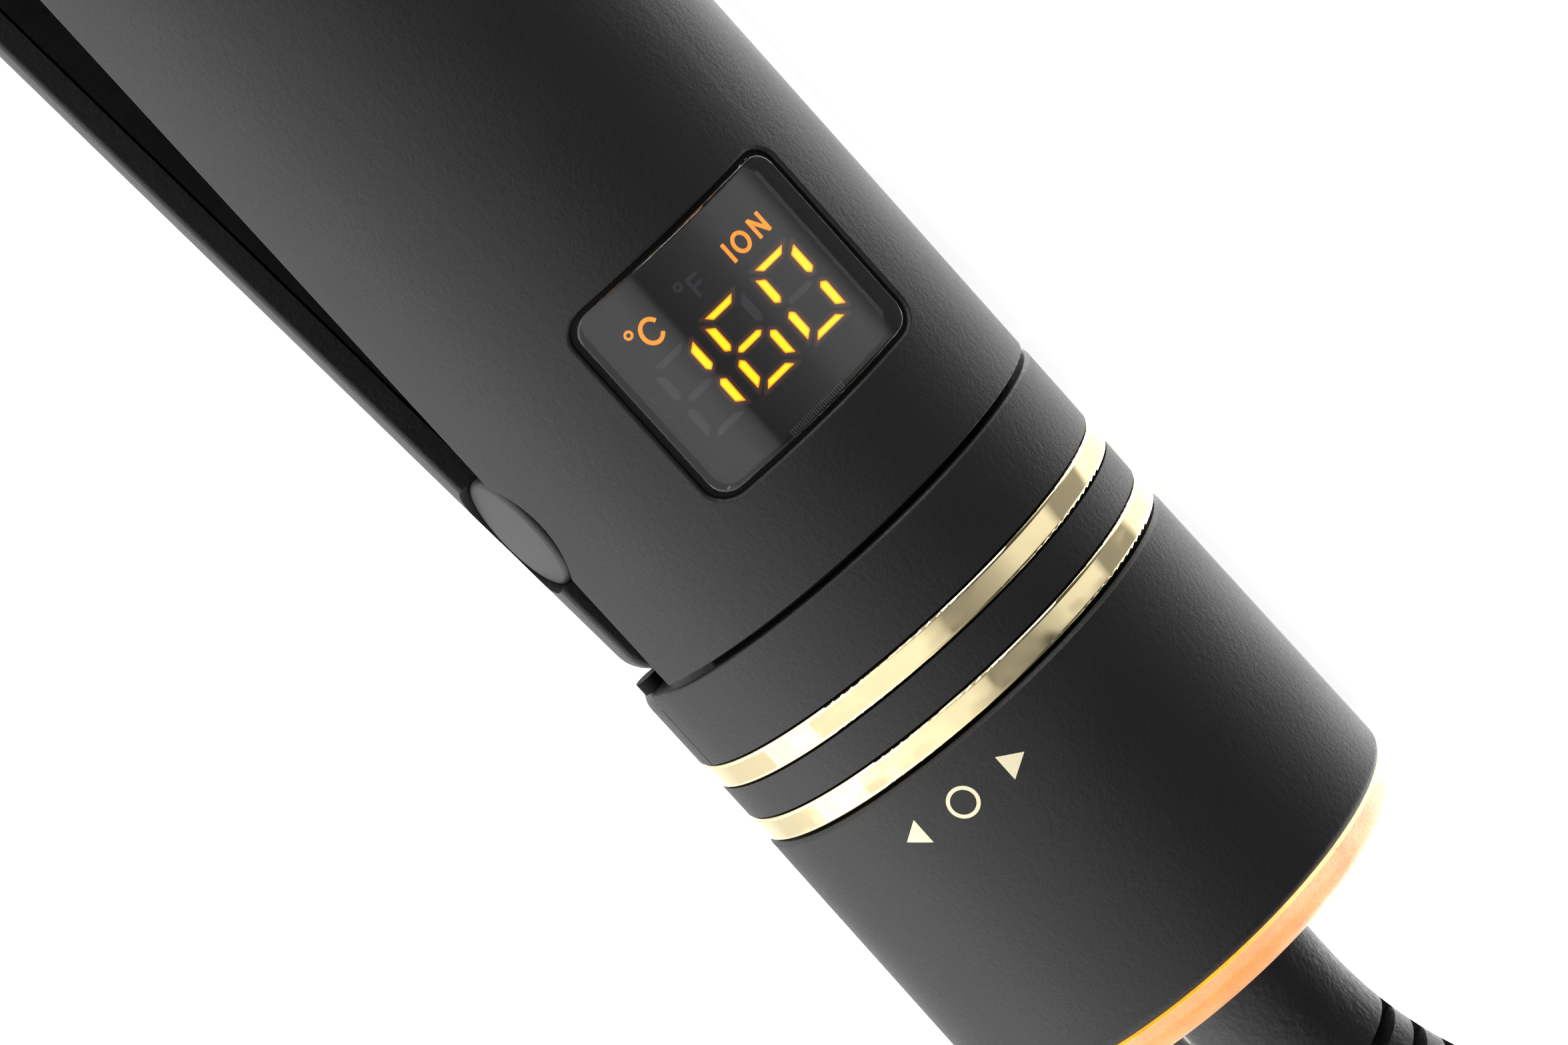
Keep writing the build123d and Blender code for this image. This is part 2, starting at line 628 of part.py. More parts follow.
def clamp_spoon():
    sheet = ring_x(SPOON_START_X, SPOON_END_X, SPOON_OUT_R, SPOON_IN_R) & beyond_y(0)
    root = 14.6
    tip = 10.0
    shoulder_x = SPOON_END_X - tip
    side = [(SPOON_START_X - 1, -root), (SPOON_START_X + 14, -root), (shoulder_x, -tip)]
    straight = Polyline([*side])
    nose = ThreePointArc((shoulder_x, -tip), (SPOON_END_X, 0), (shoulder_x, tip))
    back = Polyline([(x, -z) for x, z in reversed(side)] + [side[0]])
    outline = make_face(straight + nose + back)
    plan = Plane(origin=(0, 0, 0), x_dir=(1, 0, 0), z_dir=(0, 1, 0))
    return (sheet & extrude(plan * outline, 30)) - spoon_rivets(0.02)


def clamp_tip():
    """Heat-insulated finger tip at the free end of the spoon."""
    seat_r = SPOON_OUT_R + 0.02
    top_r = SPOON_OUT_R + 1.6
    profile = [(228.0, seat_r), (SPOON_END_X + 0.05, seat_r), (SPOON_END_X + 0.05, SPOON_IN_R),
               (251.0, SPOON_IN_R), (261.0, 20.6), (261.0, 22.6), (249.0, top_r), (230.0, top_r)]
    plan = rounded_prism(228.0, 261.0, 7.5, 7.0, 0.0, 30.0)
    return turned(profile) & plan


# ---- cord set ------------------------------------------------------------------------------
def swivel_hub():
    """Flanged journal that turns in the end cap and carries the cord."""
    journal = rod_x(HUB_REAR_X, JOURNAL_END_X, 8.0 - FIT)
    journal += rod_x(JOURNAL_END_X, -46.0, 9.4)
    return journal - rod_x(-60, -40, 2.5)


def boot_station(distance):
    """Plane square to the strain relief's centre line at a distance from its base."""
    arc_length = BOOT_ARC_R * BEND_RAD
    if distance < BOOT_STRAIGHT + arc_length:
        turn = max(0.0, (distance - BOOT_STRAIGHT) / BOOT_ARC_R)
        place = ARC_START + Vector(-math.sin(turn), 0, -(1 - math.cos(turn))) * BOOT_ARC_R
    else:
        turn = BEND_RAD
        place = ARC_END + BOOT_DIR * (distance - BOOT_STRAIGHT - arc_length)
    heading = (-math.cos(turn), 0, -math.sin(turn))
    return Plane(origin=place, x_dir=(0, 1, 0), z_dir=heading)


def strain_relief_boot():
    foot = rod_x(BOOT_START.X - 1.4, BOOT_START.X, 7.2)
    straight = rod_x(ARC_START.X, BOOT_START.X, BOOT_R)
    bend_plane = Plane(origin=ARC_START, x_dir=(0, 1, 0), z_dir=(-1, 0, 0))
    pivot = Axis((ARC_START.X, 0, ARC_START.Z - BOOT_ARC_R), (0, -1, 0))
    bend = revolve(bend_plane * Circle(BOOT_R), pivot, BEND)
    end_plane = Plane(origin=ARC_END, x_dir=(0, 1, 0), z_dir=BOOT_DIR)
    cone = loft([end_plane * Circle(BOOT_R), end_plane.offset(BOOT_TAPER) * Circle(BOOT_END_R)])
    boot = foot + straight + bend + cone
    for index in range(SLOT_COUNT):
        station = boot_station(FIRST_SLOT + index * SLOT_PITCH)
        groove = extrude(station * (Circle(9) - Circle(CORD_D / 2 + 0.7)), SLOT_WIDTH / 2, both=True)
        boot -= groove & beyond_y(1.1)
        boot -= groove & before_y(-1.1)
    return boot - extrude(end_plane.offset(BOOT_TAPER - CORD_IN_BOOT) * Circle(CORD_D / 2 + 0.02), 20)


def cord_tube(route, name):
    """Round tube along straight runs joined by the largest arcs that the runs allow."""
    radii = []
    for before, corner, after in zip(route, route[1:], route[2:]):
        arriving = corner - before
        leaving = after - corner
        half_turn = math.radians(arriving.get_angle(leaving)) / 2
        radii.append(0.45 * min(arriving.length, leaving.length) / math.tan(half_turn))
    path = FilletPolyline(*route, radius=radii)
    start = Plane(origin=route[0], z_dir=route[1] - route[0])
    tube = sweep(start * Circle(CORD_D / 2), path=path)
    section = math.pi * (CORD_D / 2) ** 2
    print(name, "radii", [round(r) for r in radii], "length", round(path.length, 1),
          "volume over section x length", round(tube.volume / (section * path.length), 4))
    return tube


def cord_coil():
    """Outer shape of the wound cord."""
    base = Plane(origin=(COIL_CENTRE[0], COIL_CENTRE[1], COIL_BASE))
    section = Circle(COIL_MEAN_R + COIL_WIDTH / 2) - Circle(COIL_MEAN_R - COIL_WIDTH / 2)
    coil = extrude(base * section, COIL_HEIGHT)
    return fillet(coil.edges().filter_by(GeomType.CIRCLE), 2.4)


def cord_tie():
    """Strap round the coil on its side next to the iron."""
    mid_x = COIL_CENTRE[0] + COIL_MEAN_R
    half_gap = COIL_WIDTH / 2 + 0.75
    top = COIL_BASE + COIL_HEIGHT + 0.15
    out = half_gap + TIE_THICK
    band = block(mid_x - out, mid_x + out, -TIE_HALF_WIDTH, TIE_HALF_WIDTH, FLOOR, top + TIE_THICK)
    band -= block(mid_x - half_gap, mid_x + half_gap, -9, 9, COIL_BASE, top)
    return Pos(0, COIL_CENTRE[1], 0) * band


def plug_body():
    """Flat two-pin plug with a waist for the fingers and its own strain relief."""
    rear_x = PLUG_REAR[0] + RELIEF_LENGTH
    face_x = rear_x + PLUG_LENGTH
    half = PLUG_WIDTH / 2
    outline = [(rear_x, -9.0), (rear_x + 13, -12.0), (face_x - 9, -half), (face_x, -half),
               (face_x, half), (face_x - 9, half), (rear_x + 13, 12.0), (rear_x, 9.0)]
    base = Plane(origin=(0, 0, PLUG_AXIS_Z - PLUG_THICK / 2))
    body = extrude(base * make_face(Polyline(outline, close=True)), PLUG_THICK)
    body = fillet(body.edges().filter_by(Axis.Z), 2.0)
    body = fillet(body.faces().group_by(Axis.Z)[-1].edges(), 2.0)
    body = fillet(body.faces().group_by(Axis.Z)[0].edges(), 2.0)
    skin = PLUG_THICK / 2 - GRIP_DEPTH
    for index in range(GRIP_GROOVES):
        x = rear_x + 5 + index * GRIP_PITCH
        body -= block(x - 0.5, x + 0.5, -FAR, FAR, PLUG_AXIS_Z + skin, FAR)
        body -= block(x - 0.5, x + 0.5, -FAR, FAR, -FAR, PLUG_AXIS_Z - skin)
    end_plane = Plane(origin=(PLUG_REAR[0] + 2, 0, PLUG_AXIS_Z), x_dir=(0, 1, 0), z_dir=(1, 0, 0))
    relief = loft([end_plane * Circle(4.0), end_plane.offset(RELIEF_LENGTH - 1) * Circle(5.6)])
    relief -= rod_x(PLUG_REAR[0] - 5, PLUG_REAR[0] + 2, CORD_D / 2, 0, PLUG_AXIS_Z)
    return Pos(0, PLUG_REAR[1], 0) * (body + relief) - plug_pins()


def plug_pins():
    """The two contact pins, each on a thicker root moulded into the plug."""
    face_x = PLUG_REAR[0] + RELIEF_LENGTH + PLUG_LENGTH
    pins = []
    for side in (-1, 1):
        y = PLUG_REAR[1] + side * PIN_SPACING / 2
        pin = rod_x(face_x, face_x + PIN_LENGTH, 2.0, y, PLUG_AXIS_Z)
        pin = fillet(pin.edges().group_by(Axis.X)[-1], 1.2)
        pins.append(pin + rod_x(face_x - 6, face_x, 2.6, y, PLUG_AXIS_Z))
    return Part() + pins


# ---- nodes ---------------------------------------------------------------------------------
HANDLE = {
    "main_arm_shell": main_arm_shell,
    "main_arm_liner": main_arm_liner,
    "display_window": display_window,
    "display_gasket": display_gasket,
    "display_module": display_module,
    "control_board": control_board,
    "ion_module": ion_module,
    "heater_leads": heater_leads,
    "barrel_base": barrel_base,
    "barrel_tube": barrel_tube,
    "heat_spreader_display_side": lambda: heat_spreader(-1),
    "heat_spreader_clamp_side": lambda: heat_spreader(1),
    "ptc_heater": ptc_heater,
    "thermal_sensor": thermal_sensor,
    "cool_tip": cool_tip,
    "tail_core": tail_core,
    "collar_upper": lambda: collar(-1),
    "collar_lower": lambda: collar(1),
    "open_stop_pads": open_stop_pads,
    "gold_ring_front": lambda: trim_ring(RING1_FRONT_X),
    "spacer_band": spacer_band,
    "gold_ring_rear": lambda: trim_ring(RING2_FRONT_X),
    "encoder_board": encoder_board,
    "ring_return_spring": ring_return_spring,
    "power_board": power_board,
    "light_ring": light_ring,
    "led_board": led_board,
    "end_cap": end_cap,
    "chassis_screws": chassis_screws,
    "display_arm_screws": lambda: Part() + [arm_screw(x, z, LINER_Y, -1) for x, z in DISPLAY_SCREWS],
    "arm_spring": arm_spring,
    "twist_ring": twist_ring,
    "ring_marks": ring_marks,
}
CLAMP_ARM = {
    "clamp_arm_shell": clamp_arm_shell,
    "clamp_arm_liner": clamp_arm_liner,
    "closing_pads": closing_pads,
    "clamp_arm_screws": lambda: Part() + [arm_screw(x, z, 0, 1) for x, z in CLAMP_SCREWS],
    "hinge_pin": hinge_pin,
    "hinge_cap_left": lambda: hinge_cap(1),
    "hinge_cap_right": lambda: hinge_cap(-1),
    "spoon_bracket": spoon_bracket,
    "spoon_rivets": spoon_rivets,
    "clamp_spoon": clamp_spoon,
    "clamp_tip": clamp_tip,
}
CORD_SET = {
    "swivel_hub": swivel_hub,
    "strain_relief_boot": strain_relief_boot,
    "power_cord": lambda: cord_tube(CORD_ROUTE, "power_cord"),
    "cord_coil": cord_coil,
    "cord_end": lambda: cord_tube(TAIL_ROUTE, "cord_end"),
    "cord_tie": cord_tie,
    "plug_body": plug_body,
    "plug_pins": plug_pins,
}


def main():
    os.makedirs("parts", exist_ok=True)
    iron = {name: make() for name, make in HANDLE.items()}
    iron.update({name: opened(make()) for name, make in CLAMP_ARM.items()})
    cord = {name: make() for name, make in CORD_SET.items()}
    iron["swivel_hub"] = cord.pop("swivel_hub")
    box = Compound(children=[Compound(shape.wrapped) for shape in iron.values()]).bounding_box()
    middle = box.center()
    to_stand = Pos(-middle.X, -middle.Y, -box.min.Z)
    print("hinge axis stands at", [round(v, 3) for v in (-middle.X, -middle.Y, -box.min.Z)])
    for name, shape in {**iron, **cord}.items():
        export_step(to_stand * shape, f"parts/{name}.step")


main()
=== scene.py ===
"""Look of a two-arm curling iron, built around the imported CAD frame."""
import json
import math

import bmesh
import bpy
from mathutils import Euler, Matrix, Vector


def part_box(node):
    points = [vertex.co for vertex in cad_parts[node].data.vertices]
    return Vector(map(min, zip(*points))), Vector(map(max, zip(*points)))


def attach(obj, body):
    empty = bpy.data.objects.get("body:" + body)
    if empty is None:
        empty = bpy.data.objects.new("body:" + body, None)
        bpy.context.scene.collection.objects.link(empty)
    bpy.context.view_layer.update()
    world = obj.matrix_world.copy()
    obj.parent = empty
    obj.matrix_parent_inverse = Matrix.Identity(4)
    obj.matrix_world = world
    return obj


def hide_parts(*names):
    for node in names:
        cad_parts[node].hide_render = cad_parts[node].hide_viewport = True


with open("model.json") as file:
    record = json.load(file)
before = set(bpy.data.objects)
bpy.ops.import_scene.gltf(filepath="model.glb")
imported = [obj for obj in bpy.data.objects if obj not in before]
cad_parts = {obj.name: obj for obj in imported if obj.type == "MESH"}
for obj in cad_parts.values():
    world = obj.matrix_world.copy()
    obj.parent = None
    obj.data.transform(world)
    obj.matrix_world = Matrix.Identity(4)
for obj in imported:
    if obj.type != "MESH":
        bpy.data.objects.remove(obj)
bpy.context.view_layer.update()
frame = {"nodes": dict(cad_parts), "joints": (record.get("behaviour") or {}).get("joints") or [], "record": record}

MM = 0.001
JOINTS = {joint["name"]: Vector(joint["pos_m"]) for joint in frame["joints"]}
HINGE = JOINTS["arm_hinge"]          # the arm hinge's axis; the round handle is centred on it

# ---- camera --------------------------------------------------------------------------------
CAMERA_OFFSET = Vector((47.5325, -362.0888, 106.7303))   # from the arm hinge, mm
CAMERA_TURN = (-68.0868, 43.0670, -155.1440)             # degrees
CAMERA_LENS = 119.804                                    # mm, on a 36 mm wide sensor

# ---- cord ----------------------------------------------------------------------------------
CORD_D = 6.0
FLOOR = -19.38           # table height below the arm hinge's middle
COIL_CENTRE = (-176.0, 33.0)
COIL_MEAN_R = 35.0
COIL_PITCH = 6.1
COIL_BASE = FLOOR + 0.8
TURN_STEP = 24           # degrees between control points of the coil
STEP_TURNS = (335, 665, 995, 1325, 1655, 1985, 2315)     # winding angle at each change of row
STEP_SPAN = 44           # degrees that a change of row takes
FIRST_TURN = 12          # winding angles of the first control point and of the tail's start
LAST_TURN = 2596
# rows of the winding in their order: (column, layer)
WINDING = ((1, 0), (0, 0), (0, 1), (1, 1), (1, 2), (0, 2), (0, 3), (1, 3))
PLUG_MOUTH = (-135.8, 84.0, FLOOR + 6.85)
BOOT_BEND = 26           # degrees that the strain relief dips at its end
BOOT_END_Z = -10.4
BOOT_END_INSET = 1.9     # from the strain relief's rearmost point to the middle of its end
INSIDE_BOOT = 8          # how far the cord starts inside the strain relief
BOOT_TO_TABLE = 12.3     # how far behind the strain relief the cord is led down to the table
# way points between the strain relief and the winding, and between the winding and the plug
CORD_START = ((-141.0, -2.2, FLOOR + CORD_D / 2 + 0.2), (-166.0, -4.9, COIL_BASE + CORD_D / 2))
CORD_TAIL = ((-215.5, 63.0, FLOOR + 17.0), (-193.0, 85.0, FLOOR + 8.0), (-161.0, 86.0, FLOOR + 4.4),
             PLUG_MOUTH)


def at(x, y, z):
    """Point given in mm from the middle of the arm hinge."""
    return HINGE + Vector((x, y, z)) * MM


def make_camera():
    data = bpy.data.cameras.new("photo_camera")
    data.sensor_width = 36.0
    data.lens = CAMERA_LENS
    data.clip_start = 0.01
    data.dof.use_dof = False
    camera = bpy.data.objects.new("photo_camera", data)
    camera.location = HINGE + CAMERA_OFFSET * MM
    camera.rotation_euler = Euler([math.radians(a) for a in CAMERA_TURN], "XYZ")
    bpy.context.scene.collection.objects.link(camera)
    bpy.context.scene.camera = camera


def smooth_step(t):
    t = min(1.0, max(0.0, t))
    return t * t * (3 - 2 * t)


def coil_point(turned):
    """Control point of the winding after turning that many degrees."""
    place = 0.0
    for angle in STEP_TURNS:
        place += smooth_step((turned - angle) / STEP_SPAN + 0.5)
    row = min(int(place), len(WINDING) - 2)
    share = place - row
    column = WINDING[row][0] + (WINDING[row + 1][0] - WINDING[row][0]) * share
    layer = WINDING[row][1] + (WINDING[row + 1][1] - WINDING[row][1]) * share
    radius = COIL_MEAN_R + (column - 0.5) * COIL_PITCH
    radius /= math.cos(math.radians(TURN_STEP / 2))     # the curve runs inside its control points
    angle = math.radians(-90 - turned)
    x = COIL_CENTRE[0] + radius * math.cos(angle)
    y = COIL_CENTRE[1] + radius * math.sin(angle)
    return at(x, y, COIL_BASE + CORD_D / 2 + layer * COIL_PITCH)


def cord_points():
    """Control points from inside the strain relief, round the coil and to the plug."""
    boot_end = (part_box("strain_relief_boot")[0].x - HINGE.x) / MM + BOOT_END_INSET
    bend = math.radians(BOOT_BEND)
    points = [
        at(boot_end + INSIDE_BOOT * math.cos(bend), 0, BOOT_END_Z + INSIDE_BOOT * math.sin(bend)),
        at(boot_end - BOOT_TO_TABLE, 0, FLOOR + CORD_D / 2),
    ]
    points += [at(*point) for point in CORD_START]
    points += [coil_point(turned) for turned in range(FIRST_TURN, LAST_TURN, TURN_STEP)]
    points += [at(*point) for point in CORD_TAIL]
    return points


def make_cord(strap):
    curve = bpy.data.curves.new("power_lead", "CURVE")
    curve.dimensions = "3D"
    curve.bevel_depth = 1.0     # the points' radius sets the size, and the curve's box grows by it
    curve.bevel_resolution = 6
    curve.resolution_u = 6
    curve.use_fill_caps = True
    points = cord_points()
    spline = curve.splines.new("NURBS")
    spline.points.add(len(points) - 1)
    for control, point in zip(spline.points, points):
        control.co = (*point, 1.0)
        control.radius = CORD_D / 2 * MM
    spline.order_u = 3
    spline.use_endpoint_u = True
    lead = bpy.data.objects.new("power_lead", curve)
    bpy.context.scene.collection.objects.link(lead)
    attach(lead, "cord_set")
    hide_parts("power_cord", "cord_coil", "cord_end")
    return lead


# ---- materials -----------------------------------------------------------------------------
class Look:
    """A Principled material with short calls for the nodes that vary it."""

    def __init__(self, name, **values):
        self.material = bpy.data.materials.new(name)
        self.material.use_nodes = True
        self.nodes = self.material.node_tree.nodes
        self.links = self.material.node_tree.links
        self.shader = self.nodes["Principled BSDF"]
        for socket, value in values.items():
            socket = socket.replace("_", " ")
            if socket in ("Base Color", "Emission Color"):
                value = (*value, 1.0)
            self.shader.inputs[socket].default_value = value
        self.place = self.nodes.new("ShaderNodeTexCoord").outputs["Object"]

    def stretched(self, x, y, z):
        """Object coordinates scaled per axis."""
        mapping = self.nodes.new("ShaderNodeMapping")
        mapping.inputs["Scale"].default_value = (x, y, z)
        self.links.new(self.place, mapping.inputs["Vector"])
        return mapping.outputs["Vector"]

    def noise(self, size_mm, detail=2.0, roughness=0.5, place=None):
        node = self.nodes.new("ShaderNodeTexNoise")
        node.inputs["Scale"].default_value = 1 / (size_mm * MM)
        node.inputs["Detail"].default_value = detail
        node.inputs["Roughness"].default_value = roughness
        self.links.new(place or self.place, node.inputs["Vector"])
        return node.outputs["Fac"]

    def cells(self, size_mm, feature="F1"):
        node = self.nodes.new("ShaderNodeTexVoronoi")
        node.feature = feature
        node.inputs["Scale"].default_value = 1 / (size_mm * MM)
        self.links.new(self.place, node.inputs["Vector"])
        return node.outputs["Distance"]

    def bands(self, size_mm, direction):
        """Even bands, one every size_mm along an axis."""
        node = self.nodes.new("ShaderNodeTexWave")
        node.bands_direction = direction
        node.inputs["Scale"].default_value = math.pi / 10 / (size_mm * MM)
        self.links.new(self.place, node.inputs["Vector"])
        return node.outputs["Fac"]

    def value_range(self, source, low, high, start=0.3, end=0.7):
        """Maps a texture's range start..end to low..high."""
        node = self.nodes.new("ShaderNodeMapRange")
        node.inputs["From Min"].default_value = start
        node.inputs["From Max"].default_value = end
        node.inputs["To Min"].default_value = low
        node.inputs["To Max"].default_value = high
        self.links.new(source, node.inputs["Value"])
        return node.outputs["Result"]

    def math(self, operation, first, second):
        node = self.nodes.new("ShaderNodeMath")
        node.operation = operation
        for socket, value in zip(node.inputs, (first, second)):
            if isinstance(value, (int, float)):
                socket.default_value = value
            else:
                self.links.new(value, socket)
        return node.outputs["Value"]

    def colours(self, source, *stops):
        """Colour ramp; each stop is (position, (r, g, b))."""
        node = self.nodes.new("ShaderNodeValToRGB")
        ramp = node.color_ramp
        ramp.elements.remove(ramp.elements[1])
        ramp.elements[0].position = stops[0][0]
        ramp.elements[0].color = (*stops[0][1], 1.0)
        for position, colour in stops[1:]:
            ramp.elements.new(position).color = (*colour, 1.0)
        self.links.new(source, node.inputs["Fac"])
        return node.outputs["Color"]

    def blend(self, factor, first, second):
        """First colour, turning into the fixed second one where the factor is 1."""
        node = self.nodes.new("ShaderNodeMix")
        node.data_type = "RGBA"
        sockets = [socket for socket in node.inputs if socket.type == "RGBA"]
        self.links.new(factor, node.inputs["Factor"])
        self.links.new(first, sockets[0])
        sockets[1].default_value = (*second, 1.0)
        return next(socket for socket in node.outputs if socket.type == "RGBA")

    def drive(self, socket, source):
        self.links.new(source, self.shader.inputs[socket])

    def bump(self, depth_mm, *heights):
        """Bump from height textures, each (source, share of the depth)."""
        normal = None
        for source, share in heights:
            node = self.nodes.new("ShaderNodeBump")
            node.inputs["Strength"].default_value = 1.0
            node.inputs["Distance"].default_value = depth_mm * share * MM
            self.links.new(source, node.inputs["Height"])
            if normal:
                self.links.new(normal, node.inputs["Normal"])
            normal = node.outputs["Normal"]
        self.drive("Normal", normal)


def moulded(name, colour, roughness, grain_mm, depth_mm, level):
    """Moulded plastic or rubber: fine grain, slight mottling of colour and gloss."""
    look = Look(name, Base_Color=colour, Roughness=roughness, Specular_IOR_Level=level)
    clouds = look.noise(9.0, detail=3.0)
    fine = look.noise(grain_mm, detail=1.5)
    coarse = look.noise(grain_mm * 2.7, detail=1.0)
    dark = [c * 0.86 for c in colour]
    light = [c * 1.14 for c in colour]
    look.drive("Base Color", look.colours(clouds, (0.35, dark), (0.65, light)))
    cloudy = look.value_range(clouds, -0.03, 0.03)
    grainy = look.value_range(fine, -0.05, 0.05)
    look.drive("Roughness", look.math("ADD", look.math("ADD", cloudy, grainy), roughness))
    look.bump(depth_mm, (fine, 1.0), (coarse, 1.2))
    return look.material


def polished(name, colour, roughness, scuff, waviness_mm):
    """Smooth metal, slightly uneven, with faint handling marks."""
    look = Look(name, Base_Color=colour, Metallic=1.0, Roughness=roughness)
    clouds = look.noise(6.0, detail=4.0)
    fine = look.noise(0.5, detail=3.0)
    look.drive("Base Color", look.colours(clouds, (0.3, [c * 0.94 for c in colour]), (0.7, colour)))
    handled = look.value_range(clouds, 0, scuff, 0.45, 0.8)
    scratched = look.value_range(fine, 0, scuff / 2)
    look.drive("Roughness", look.math("ADD", look.math("ADD", handled, scratched), roughness))
    look.bump(waviness_mm, (look.noise(3.5, detail=1.0), 1.0))
    return look.material


def brushed(name, colour, roughness, stretch):
    """Metal with fine brush lines, stretched by a factor per axis."""
    look = Look(name, Base_Color=colour, Metallic=1.0, Roughness=roughness)
    lines = look.noise(0.35, detail=1.5, place=look.stretched(*stretch))
    clouds = look.noise(12.0, detail=3.0)
    look.drive("Base Color", look.colours(lines, (0.3, [c * 0.95 for c in colour]), (0.7, colour)))
    lined = look.value_range(lines, -0.015, 0.02)
    cloudy = look.value_range(clouds, -0.03, 0.05)
    look.drive("Roughness", look.math("ADD", look.math("ADD", lined, cloudy), roughness))
    look.bump(0.002, (lines, 1.0))
    return look.material


def smoked_glass():
    """Dark clear window with a trace of uneven film."""
    look = Look("smoked_window", Base_Color=(0.55, 0.54, 0.56), Roughness=0.0, IOR=1.5,
                Transmission_Weight=1.0)
    film = look.noise(14.0, detail=2.0)
    look.drive("Roughness", look.value_range(film, 0.0, 0.006))
    return look.material


def display_face():
    """Black face of the display module, faintly mottled."""
    look = Look("display_face", Base_Color=(0.018, 0.016, 0.02), Roughness=0.5, Specular_IOR_Level=0.2)
    clouds = look.noise(4.0, detail=2.0)
    look.drive("Base Color", look.colours(clouds, (0.3, (0.015, 0.013, 0.017)), (0.7, (0.022, 0.019, 0.025))))
    return look.material


GUIDE_DEPTH = 2.45       # how deep the light ring's colours run along the handle, mm
PAINTED_SHINE_HEIGHTS = (6.0, 25.0)  # heights over the table between which the table's white shine, painted into the ring's glow, fades


def light_guide():
    """Frosted guide lit by the diodes behind it; low on the ring the table's white shine is painted into its glow.
    """
    look = Look("light_guide", Base_Color=(0.5, 0.17, 0.06), Roughness=0.35,
                Subsurface_Weight=0.15, Subsurface_Scale=0.002, Emission_Color=(1.0, 0.36, 0.1))
    look.shader.inputs["Subsurface Radius"].default_value = (1.0, 0.45, 0.2)
    clouds = look.noise(3.0, detail=3.0)
    specks = look.noise(0.22, detail=4.0, roughness=0.75)
    split = look.nodes.new("ShaderNodeSeparateXYZ")
    look.links.new(look.place, split.inputs["Vector"])
    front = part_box("light_ring")[1].x
    depth = look.value_range(split.outputs["X"], 0.0, 1.0, front, front - GUIDE_DEPTH * MM)
    tone = look.colours(depth, (0.0, (1.0, 0.5, 0.04)), (0.02, (1.0, 0.5, 0.06)), (0.04, (1.0, 0.52, 0.26)),
                        (0.3, (1.0, 0.5, 0.2)), (0.42, (1.0, 0.38, 0.08)), (0.8, (1.0, 0.42, 0.13)),
                        (1.0, (1.0, 0.5, 0.32)))
    # painted light: towards the table the ring's glow turns from its own tone to the table's white shine
    painted_table_shine = look.value_range(split.outputs["Z"], 1.0, 0.0, PAINTED_SHINE_HEIGHTS[0] * MM, PAINTED_SHINE_HEIGHTS[1] * MM)
    look.drive("Emission Color", look.blend(painted_table_shine, tone, (1.0, 0.85, 0.58)))
    glow = look.math("ADD", look.value_range(clouds, 0.5, 0.72), look.value_range(specks, -0.16, 0.12))
    edge = look.value_range(depth, 1.8, 1.0, 0.015, 0.04)
    # painted light: near the table the glow is also made up to 1.5 times brighter, standing for the table's shine
    painted_shine_boost = look.value_range(painted_table_shine, 1.0, 1.5, 0, 1)
    look.drive("Emission Strength", look.math("MULTIPLY", look.math("MULTIPLY", glow, edge), painted_shine_boost))
    look.bump(0.01, (specks, 1.0))
    return look.material


def solder_mask():
    """Black circuit board lacquer with faint tracks under it."""
    look = Look("board_lacquer", Base_Color=(0.012, 0.014, 0.013), Roughness=0.4)
    tracks = look.cells(2.2, "DISTANCE_TO_EDGE")
    dots = look.cells(1.4)
    tone = look.colours(tracks, (0.0, (0.02, 0.025, 0.022)), (0.09, (0.018, 0.022, 0.02)),
                        (0.12, (0.01, 0.012, 0.011)))
    look.drive("Base Color", tone)
    look.drive("Roughness", look.value_range(dots, 0.35, 0.5))
    look.bump(0.01, (tracks, 1.0))
    return look.material


def woven(name, colour, thread_mm):
    """Webbing with visible threads and some fluff."""
    look = Look(name, Base_Color=colour, Roughness=0.85, Sheen_Weight=0.35)
    warp = look.bands(thread_mm, "X")
    weft = look.bands(thread_mm, "Z")
    fluff = look.noise(0.3, detail=4.0, roughness=0.7)
    weave = look.math("ADD", look.math("MULTIPLY", warp, weft), look.math("MULTIPLY", fluff, 0.5))
    light = [c * 2.2 for c in colour]
    look.drive("Base Color", look.colours(weave, (0.2, [c * 0.6 for c in colour]), (0.9, light)))
    look.bump(0.12, (weave, 1.0))
    return look.material


def lit(name, colour, strength):
    """One shade of glowing print on the display module."""
    look = Look(name, Base_Color=(0.018, 0.016, 0.02), Roughness=0.4, Emission_Color=colour)
    grain = look.noise(0.5, detail=3.0)
    look.drive("Emission Strength", look.value_range(grain, strength * 0.92, strength * 1.06))
    return look.material


BLACK = (0.005, 0.005, 0.0052)
# Moulded plastics and rubbers: colour, roughness, grain and its depth in mm, specular level.
MOULDED = {
    "soft_touch_black": (BLACK, 0.5, 0.17, 0.024, 0.375),
    "inner_black": ((0.004, 0.004, 0.0042), 0.42, 0.3, 0.006, 0.25),
    "cap_black": ((0.012, 0.012, 0.0122), 0.5, 0.12, 0.006, 0.4),
    "mark_gold": ((0.62, 0.56, 0.38), 0.42, 0.12, 0.008, 0.5),
    "gasket_black": ((0.002, 0.002, 0.002), 0.7, 0.2, 0.006, 0.12),
    "module_grey": ((0.3, 0.3, 0.29), 0.6, 0.4, 0.02, 0.5),
    "lead_white": ((0.6, 0.6, 0.58), 0.5, 0.3, 0.006, 0.5),
    "heater_ceramic": ((0.62, 0.44, 0.2), 0.35, 0.6, 0.01, 0.5),
    "tip_black": ((0.007, 0.007, 0.0072), 0.42, 0.2, 0.01, 0.35),
    "boot_rubber": ((0.009, 0.009, 0.0093), 0.44, 0.34, 0.055, 0.35),
    "cord_black": (BLACK, 0.42, 0.5, 0.01, 0.35),
    "plug_black": ((0.006, 0.006, 0.0062), 0.48, 0.25, 0.02, 0.35),
}
